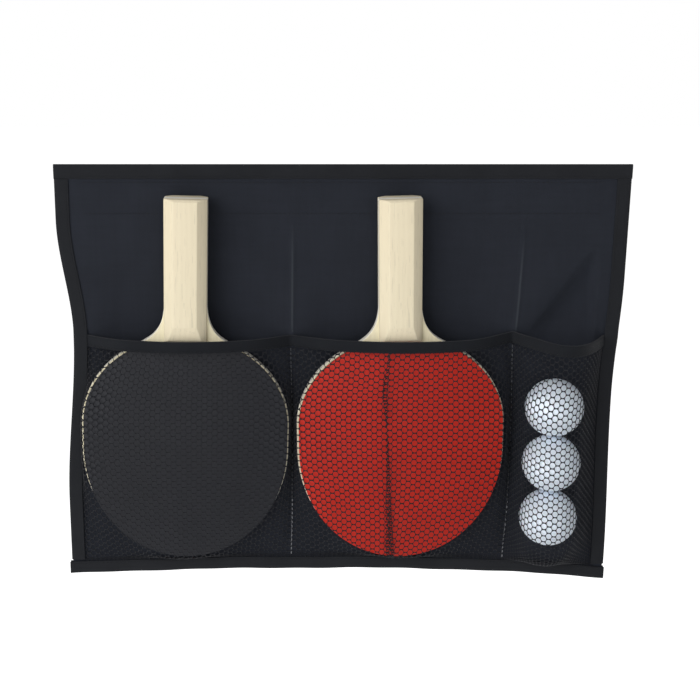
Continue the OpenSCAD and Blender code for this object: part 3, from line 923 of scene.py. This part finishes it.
def sew(black, pale, white):
    proud, puff, fixing_half = 0.02, 0.05, 176
    out = np.array([0, -1.0, 0])
    runs_front, runs_back = [], []
    y_front, y_back = Y_BINDING - proud, Y_BACK + SLACK + BINDING_T + proud

    def sew_through(x, z, over_front=0.0, over_back=0.0):
        runs_front.append((vectors(x, y_front - over_front, z), out))
        runs_back.append((vectors(x, y_back + over_back, z), -out))

    for side in (-1, 1):
        x, z = side_path(side)
        x = x - side * (BINDING_W - 0.9)
        keep = z < Z_TOP - BINDING_W - 1
        sew_through(x[keep], hang(x, z)[keep])
    x = np.linspace(-PANEL_W / 2, PANEL_W / 2, 200)
    sew_through(x, Z_TOP - BINDING_W + 1.6)
    sew_through(x, hang(x, Z_FOOT + 0 * x) + BINDING_W - 2.0, NET_T + SLACK + puff, puff)
    line, forwards = band_path()
    line = line + forwards * (NET_T / 2 + SLACK + BAND_T + puff)
    # The band is sewn wherever it runs straight, and not across its corners at the dividers.
    flat = np.linalg.norm(forwards, axis=1) < 1.02
    ends = np.flatnonzero(np.diff(flat.astype(int), prepend=0, append=0))
    for first, last in zip(ends[::2], ends[1::2]):
        if last - first > 40:
            (x, y), (across, ahead) = line[first:last].T, forwards[first:last].T
            z = Z_BAND + 1.3 + mouth_lift(x, Z_MOUTH)
            runs_front.append((vectors(x, y, z), vectors(across, ahead, 0)))
    for z in (-FIXING_H / 2 + 2, FIXING_H / 2 - 2):
        x = np.linspace(-fixing_half, fixing_half, 60)
        runs_front.append((vectors(x, Y_FRONT - proud, z), out))
    for k in (1, 2):
        z = np.linspace(Z_SEAM + 2, Z_MOUTH, 80)
        x = SEAM_X[k] + 0 * z
        runs_back.append((vectors(x, Y_BACK + proud, hang(x, z)), -out))
    made = [stitches("seams_front", runs_front, black),
            stitches("seams_back", runs_back, black)]
    seams = []
    for k in (1, 2):
        z = np.linspace(Z_SEAM + 1, Z_BAND - 1, 160)
        x = np.array([seam_at(k, level) for level in z])
        seams.append((vectors(x, Y_FRONT - 0.95, hang(x, z) + mouth_lift(x, z)), out))
    made.append(stitches("divider_thread", seams, pale, length=2.4, gap=0.7, radius=0.24))
    worn = [(path[:46] + [0.35, 0, 0], out) for path, _ in seams]
    made.append(stitches("worn_thread", worn, white, length=2.0, gap=1.3, radius=0.2))
    tacks = []
    for k in (1, 2):
        for i in range(4):
            z = Z_MOUTH + 2.0 + float(mouth_lift(SEAM_X[k], Z_MOUTH)) + 0.42 * i
            x = float(crease_x(k - 1, z))
            y = float(panel_front(x, z)) - 0.8
            tacks.append((vectors(np.array([x - 1.1, x + 1.1]), y, z), out))
    made.append(stitches("bar_tacks", tacks, pale, length=1.8, gap=0.3, radius=0.16))
    return made


# ---- Bats ----

SHOULDER_END = 0.56
SHOULDER_PULL = 16
NECK_PULL = 26
FOOT_INSET = 0.15
INSET_FROM = 12
INSET_H = 75
# Length and depth of the grip's two bevels at the blade, the upper one low and the other steep.
LOW_BEVEL = (10, 2.9)
STEEP_BEVEL = (3, 4.4)
BUTT_CHAMFER = 1.5


def bat_matrix(bat):
    k = BATS.index(bat)
    place = Matrix.Translation(Vector((BAT_X[k], Y_BAT_FOOT, Z_BAT)) * MM)
    tilt = Matrix.Rotation(BAT_TILT, 4, "X")
    rise = Matrix.Translation((0, 0, BLADE_WIDE_AT * MM))
    lean = Matrix.Rotation(math.radians(-LEANS[k]), 4, "Y")
    return place @ tilt @ rise @ lean @ rise.inverted()


def half_outline(grow):
    """The right half of a bat's outline: a round foot, straight sides, round shoulders and the neck."""
    a, top, foot = BLADE_W / 2 + grow, BLADE_CROWN + grow, BLADE_WIDE_AT + grow
    stop = math.acos(SHOULDER_END)
    neck = HANDLE_W / 2 + grow
    below = np.linspace(-math.pi / 2, 0, 60)
    above = np.linspace(0, stop, 34)
    arc = np.vstack([np.column_stack([a * np.cos(below), BLADE_WIDE_AT + foot * np.sin(below)]),
                     np.column_stack([a * np.cos(above), BLADE_WIDE_AT + BLADE_SIDE + top * np.sin(above)])])
    start = arc[-1]
    slope = np.array([-a * math.sin(stop), top * math.cos(stop)])
    slope /= np.linalg.norm(slope)
    end = np.array([neck, HANDLE_Z + NECK_L])
    t = np.linspace(0, 1, 40)[1:, None]
    curve = ((1 - t) ** 3 * start + 3 * t * (1 - t) ** 2 * (start + SHOULDER_PULL * slope)
             + 3 * t * t * (1 - t) * (end - [0, NECK_PULL]) + t ** 3 * end)
    return np.vstack([arc, curve, [[neck, BAT_L]]])


def fit_to_bat(thing, bat, finish):
    thing.data.transform(bat_matrix(bat))
    thing.data.materials.append(finish)
    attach(thing, f"{bat}_bat")
    return thing


def flat_layer(name, bat, outline, front, thickness, finish, edge, segments):
    """A layer of a bat cut to an outline, its edges eased. front is its front face's distance forwards."""
    bpy.ops.mesh.primitive_circle_add(vertices=len(outline), radius=1, fill_type="NGON")
    layer = bpy.context.object
    layer.name = layer.data.name = name
    for vertex, (x, z) in zip(layer.data.vertices, outline):
        vertex.co = (x * MM, -front * MM, z * MM)
    bpy.ops.object.mode_set(mode="EDIT")
    bpy.ops.mesh.select_all(action="SELECT")
    bpy.ops.mesh.extrude_region_move(TRANSFORM_OT_translate={"value": (0, thickness * MM, 0)})
    face_outwards()
    bevel(layer, edge, segments, 40, 35)
    return fit_to_bat(layer, bat, finish)


def mirrored(half):
    return np.vstack([half, half[1:][::-1] * [-1, 1]])


def cover_outline():
    """The rubber's outline: flush with the ply at the foot, and set in at the sides and shoulders."""
    half = half_outline(-COVER_INSET)
    half = mix(half_outline(-FOOT_INSET), half, ease((half[:, 1:] - INSET_FROM) / INSET_H))
    edge = float(np.interp(COVER_L, half[:, 1], half[:, 0]))
    whole = mirrored(np.vstack([half[half[:, 1] < COVER_L - 0.2], [[edge, COVER_L]]]))
    whole[:, 0] += 0.25 * ease((whole[:, 1] - INSET_FROM) / INSET_H)
    return whole


def make_grip(name, bat, sign, finish):
    """A grip scale cut from a length of wood: two facets, two bevels at the blade and a butt chamfer."""
    rise = (HANDLE_T - PLY_T) / 2
    half, face = HANDLE_W / 2, PLY_T / 2 + rise
    low_l, low_deep = LOW_BEVEL
    steep_l, steep_deep = STEEP_BEVEL
    bpy.ops.mesh.primitive_cube_add(size=1, location=(0, -sign * (PLY_T + rise) / 2 * MM,
                                                      (HANDLE_Z + HANDLE_L / 2) * MM))
    grip = bpy.context.object
    grip.name = grip.data.name = name
    grip.scale = (HANDLE_W * MM, rise * MM, HANDLE_L * MM)
    bpy.ops.object.transform_apply()
    cuts = [((side * half, PLY_T / 2 + FACET_SIDE, 0), (side * (rise - FACET_SIDE), half - FACET_W / 2, 0))
            for side in (-1, 1)]
    cuts += [((0, face, HANDLE_Z + steep_l + low_l), (0, low_l, -low_deep)),
             ((0, face - low_deep, HANDLE_Z + steep_l), (0, steep_l, -steep_deep)),
             ((0, face, HANDLE_Z + HANDLE_L - BUTT_CHAMFER), (0, 1, 1))]
    bpy.ops.object.mode_set(mode="EDIT")
    for (x, y, z), (across, forwards, up) in cuts:
        bpy.ops.mesh.select_all(action="SELECT")
        outwards = Vector((across, -sign * forwards, up)).normalized()
        bpy.ops.mesh.bisect(plane_co=(x * MM, -sign * y * MM, z * MM), plane_no=outwards,
                            clear_outer=True, use_fill=True)
    face_outwards()
    bevel(grip, 0.7, 3, 8, 30)
    return fit_to_bat(grip, bat, finish)


def make_bat(bat, other, rubbers, sponge):
    """A bat with its own colour to the front and the other bat's to the back."""
    blade_wood = wood_finish(f"{bat}_blade_wood", bat, (0.80, 0.735, 0.52), (0.68, 0.60, 0.40), plies=True)
    grip_wood = wood_finish(f"{bat}_grip_wood", bat, (0.745, 0.665, 0.485), (0.66, 0.575, 0.405))
    blade = flat_layer(f"{bat}_ply_blade", bat, mirrored(half_outline(0)), PLY_T / 2, PLY_T,
                       blade_wood, 0.5, 3)
    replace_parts(blade, f"{bat}_bat_blade")
    for side, sign, colour in (("front", 1, bat), ("back", -1, other)):
        top = PLY_T / 2 + SPONGE_T if sign > 0 else -PLY_T / 2
        under = flat_layer(f"{bat}_{side}_sponge", bat, cover_outline(), top, SPONGE_T,
                           sponge, 0.1, 1)
        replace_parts(under, f"{bat}_bat_{side}_sponge")
        top += RUBBER_T if sign > 0 else -SPONGE_T
        sheet = flat_layer(f"{bat}_{side}_sheet", bat, cover_outline(), top, RUBBER_T,
                           rubbers[colour], 0.2, 2)
        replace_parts(sheet, f"{bat}_bat_{side}_rubber")
        grip = make_grip(f"{bat}_{side}_grip", bat, sign, grip_wood)
        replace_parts(grip, f"{bat}_bat_{side}_grip")


# ---- Balls ----

def make_ball(name, index):
    centre = Vector((BALL_X, BALL_Y, BALL_Z + index * BALL_PITCH)) * MM
    bpy.ops.mesh.primitive_uv_sphere_add(segments=72, ring_count=40, radius=BALL_D / 2 * MM, location=centre)
    ball = bpy.context.object
    ball.name = ball.data.name = f"{name}_shell"
    bpy.ops.object.transform_apply()
    bpy.ops.object.shade_smooth()
    ball.data.materials.append(ball_finish(f"{name}_celluloid", centre))
    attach(ball, name)
    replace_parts(ball, name)


# ---- Assembly ----

cloth = panel_finish()
edging = tape_finish("edge_tape", (0.0068, 0.0074, 0.0091), (0.0180, 0.0192, 0.0224), 10.4)
mouth_edging = tape_finish("mouth_tape", (0.0046, 0.0052, 0.0068), (0.0118, 0.0132, 0.0165), 7.9)
yarn = net_finish()
black_thread = thread_finish("black_thread", (0.004, 0.004, 0.005), (0.013, 0.0135, 0.016))
pale_thread = thread_finish("pale_thread", (0.05, 0.052, 0.060), (0.16, 0.165, 0.18))

panel = make_panel(cloth)
nets = (("left_net", "left_bat_net"), ("middle_net", "middle_bat_net"), ("right_net", "ball_net"))
for k, (name, node) in enumerate(nets):
    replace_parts(make_net(k, name, yarn), node)
edge_tapes = make_bindings(edging)
make_band(mouth_edging)
white_thread = thread_finish("white_thread", (0.16, 0.165, 0.18), (0.42, 0.43, 0.46))
sewn = sew(black_thread, pale_thread, white_thread)

sponge = sponge_finish()
rubbers = {
    "black": rubber_finish("black_rubber", (0.0168, 0.0176, 0.0226), (0.0112, 0.0117, 0.0152),
                           (0.031, 0.032, 0.038)),
    "red": rubber_finish("red_rubber", (0.585, 0.022, 0.009), (0.45, 0.014, 0.006), (0.62, 0.052, 0.030))}
for bat, other in zip(BATS, BATS[::-1]):
    make_bat(bat, other, rubbers, sponge)
for index, name in enumerate(("bottom_ball", "middle_ball", "top_ball")):
    make_ball(name, index)

for node, name, dark, light, pitch in (
        ("hook_tape", "hook_tape", (0.006, 0.006, 0.007), (0.03, 0.03, 0.033), 1.3),
        ("loop_tape", "loop_pile", (0.008, 0.008, 0.010), (0.035, 0.036, 0.04), 0.7)):
    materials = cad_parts[node].data.materials
    materials.clear()
    materials.append(fixing_finish(name, dark, light, pitch * MM))

# ---- Studio ----

TARGET = Vector((0, 0, -0.13))
FLOOR_Z = -1.0
WHITE = (1, 1, 1, 1)


def seen_rays(tree):
    """One for what the camera sees, straight or in a gloss or through glass, and nought for light."""
    rays = tree.nodes.new("ShaderNodeLightPath").outputs
    seen = Value(tree, rays["Is Camera Ray"]).op("MAXIMUM", rays["Is Glossy Ray"])
    return seen.op("MAXIMUM", rays["Is Transmission Ray"])


for name, place, size, power in (
        ("key", (-1.75, -1.95, 0.75), 2.6, 61), ("front", (0.1, -2.5, 0.3), 1.8, 8),
        ("bounce", (-0.5, -1.8, -1.3), 1.6, 13), ("rim", (0.6, 1.6, 1.3), 1.2, 12)):
    light = bpy.data.lights.new(name, "AREA")
    light.shape = "DISK"
    light.size = size
    light.energy = power
    lamp = add_object(name, light)
    lamp.location = place
    lamp.rotation_euler = (TARGET - Vector(place)).to_track_quat("-Z", "Y").to_euler()

world = bpy.data.worlds.new("studio")
bpy.context.scene.world = world
world.use_nodes = True
tree = world.node_tree
sky = tree.nodes["Background"]
backdrop = tree.nodes.new("ShaderNodeBackground")
for shade, strength in ((backdrop, 1.0), (sky, 0.29)):
    feed(tree, shade.inputs["Color"], WHITE)
    feed(tree, shade.inputs["Strength"], strength)
either = tree.nodes.new("ShaderNodeMixShader")
for i, output in enumerate((seen_rays(tree), sky.outputs[0], backdrop.outputs[0])):
    feed(tree, either.inputs[i], output)
feed(tree, tree.nodes["World Output"].inputs["Surface"], either.outputs[0])

bpy.ops.mesh.primitive_plane_add(size=30, location=(0, 0, FLOOR_Z))
floor = bpy.context.object
floor.name = "studio_floor"
ground = Finish("studio_floor", 1.0, Base_Color=(0.9, 0.9, 0.9, 1), Specular_IOR_Level=0.0)
tree = ground.tree
glow = tree.nodes.new("ShaderNodeEmission")
add = tree.nodes.new("ShaderNodeAddShader")
feed(tree, glow.inputs["Strength"], seen_rays(tree))
feed(tree, glow.inputs["Color"], (0.8, 0.8, 0.8, 1))
feed(tree, add.inputs[0], ground.shader.outputs[0])
feed(tree, add.inputs[1], glow.outputs[0])
feed(tree, tree.nodes["Material Output"].inputs["Surface"], add.outputs[0])
floor.data.materials.append(ground.material)

lens = bpy.data.cameras.new("camera")
lens.lens = 62.3
lens.sensor_width = 36
lens.shift_x = 0.113
lens.clip_start = 0.05
lens.clip_end = 60
camera = add_object("camera", lens)
camera.location = (-0.0485, -0.824, 0.1043)
camera.rotation_euler = (math.radians(90 - 14.4), 0, 0)
bpy.context.scene.camera = camera
bpy.context.scene.view_settings.view_transform = "Standard"
